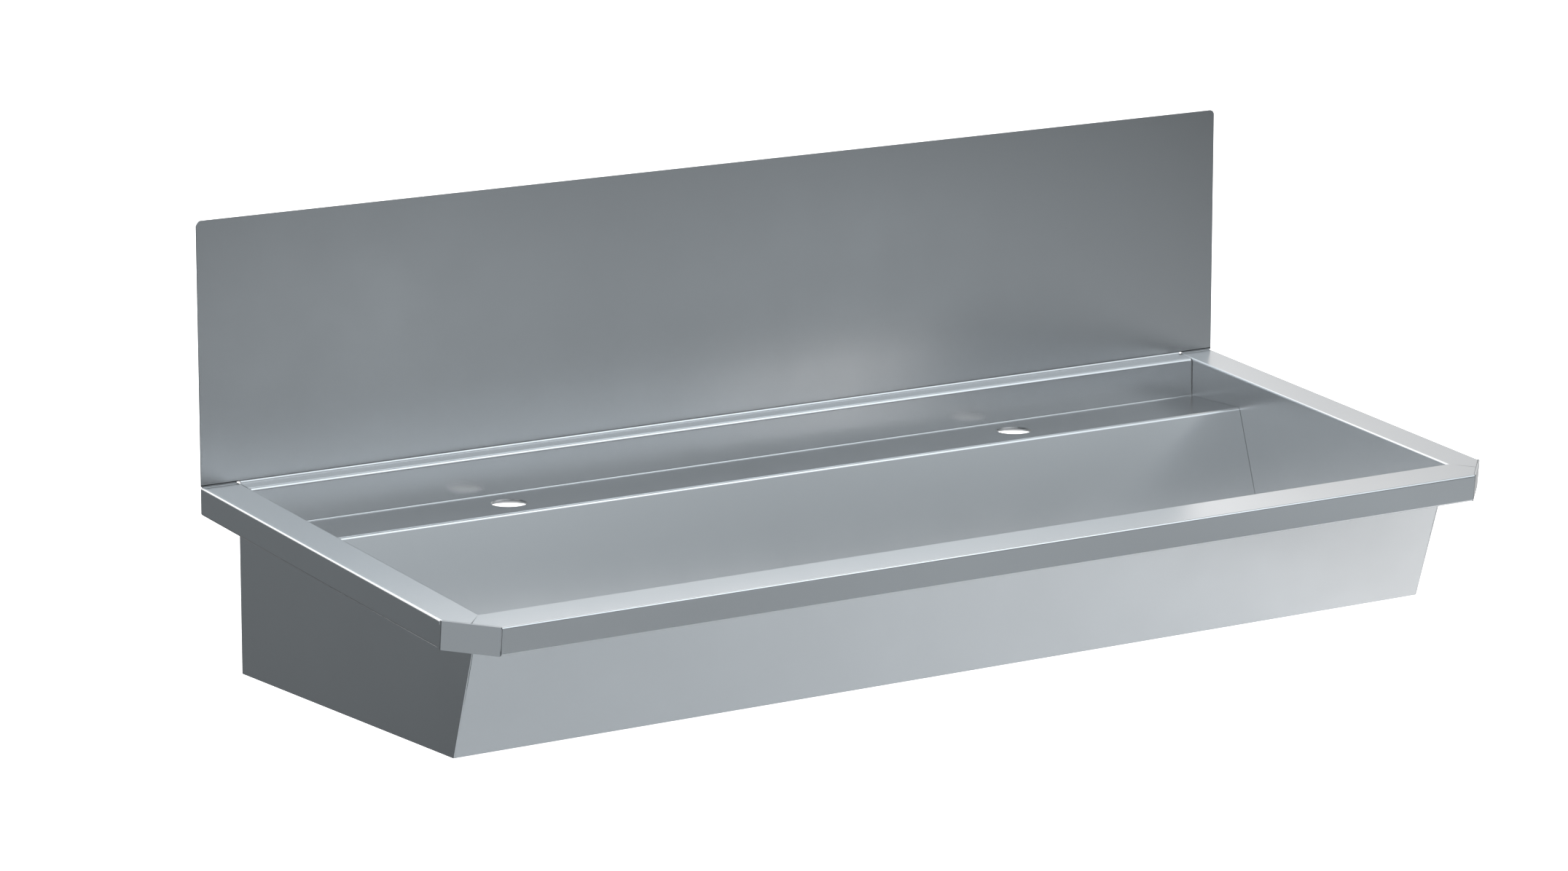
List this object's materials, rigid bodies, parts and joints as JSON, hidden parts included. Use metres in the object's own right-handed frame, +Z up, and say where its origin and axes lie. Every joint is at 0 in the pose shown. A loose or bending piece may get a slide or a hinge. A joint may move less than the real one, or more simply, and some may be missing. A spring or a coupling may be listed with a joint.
{
  "type": "trough sink",
  "caption": "Long wall-hung trough sink in folded stainless sheet: a basin with a sloping rim and apron, a tall splashback, and a recessed ledge pierced for taps.",
  "frame": {"origin": "centre of the wall-fixing hole pattern, in the plane of the building's wall", "axes": "+X along the wall, to the right when facing the trough; +Y into the wall; +Z up"},
  "size_m": [1.2, 0.4666, 0.4725],
  "materials": {
    "satin_stainless": "satin brushed stainless steel sheet, fine grain along the length",
    "stainless_plate": "mill-finish stainless plate",
    "cast_stainless": "cast and turned stainless steel",
    "zinc_plated_steel": "bright zinc-plated steel",
    "brass": "turned brass",
    "black_rubber": "matte black rubber",
    "damping_compound": "matte bitumen damping sheet",
    "white_nylon": "natural nylon"
  },
  "bodies": {
    "root": {"splashback": "satin_stainless", "tap_ledge": "satin_stainless", "basin_floor": "satin_stainless", "front_sheet": "satin_stainless", "left_end": "satin_stainless", "right_end": "satin_stainless", "left_tap_plate": "stainless_plate", "right_tap_plate": "stainless_plate", "left_sound_pad": "damping_compound", "right_sound_pad": "damping_compound", "earth_tag": "stainless_plate", "left_bracket": "stainless_plate", "right_bracket": "stainless_plate", "bracket_pads": "black_rubber", "ledge_studs": "zinc_plated_steel", "stud_washers": "zinc_plated_steel", "stud_nuts": "zinc_plated_steel", "waste_body": "cast_stainless", "waste_seal": "black_rubber", "waste_gasket": "black_rubber", "waste_slip_washer": "white_nylon", "waste_locknut": "brass", "waste_strainer": "cast_stainless", "strainer_screw": "cast_stainless"}
  },
  "joints": []
}
